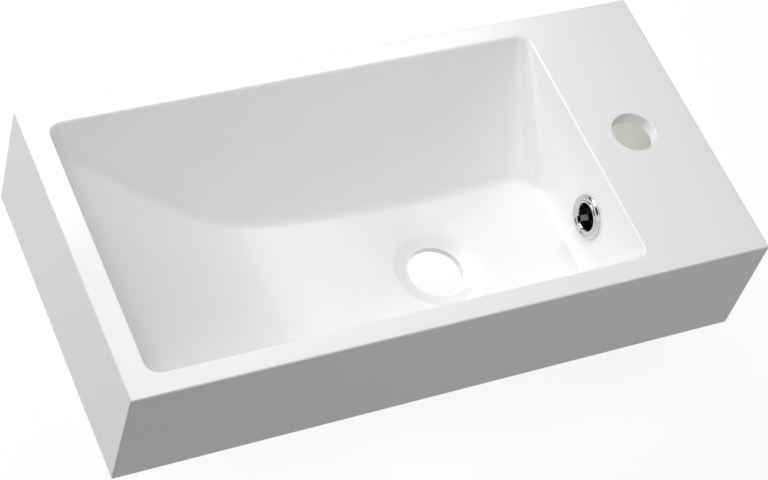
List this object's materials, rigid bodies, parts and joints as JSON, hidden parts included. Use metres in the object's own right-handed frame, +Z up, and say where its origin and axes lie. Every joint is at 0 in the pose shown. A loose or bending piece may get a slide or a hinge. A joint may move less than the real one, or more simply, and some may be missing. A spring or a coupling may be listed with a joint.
{
  "type": "washbasin",
  "caption": "Slim rectangular wall-hung hand basin with a ramped bowl, a tap deck at the right end, a dished waste hole and a round overflow ring.",
  "frame": {"origin": "middle of the basin's underside, on the plane that it rests on", "axes": "+X right along the wall, towards the tap deck; +Y towards the wall; +Z up"},
  "size_m": [0.505, 0.25, 0.1],
  "materials": {
    "white_gloss": "high gloss white",
    "chrome": "bright chrome plate",
    "raw_moulding": "matte, as moulded"
  },
  "bodies": {
    "root": {"basin": "white_gloss", "overflow_ring": "chrome", "overflow_duct": "raw_moulding"}
  },
  "joints": []
}
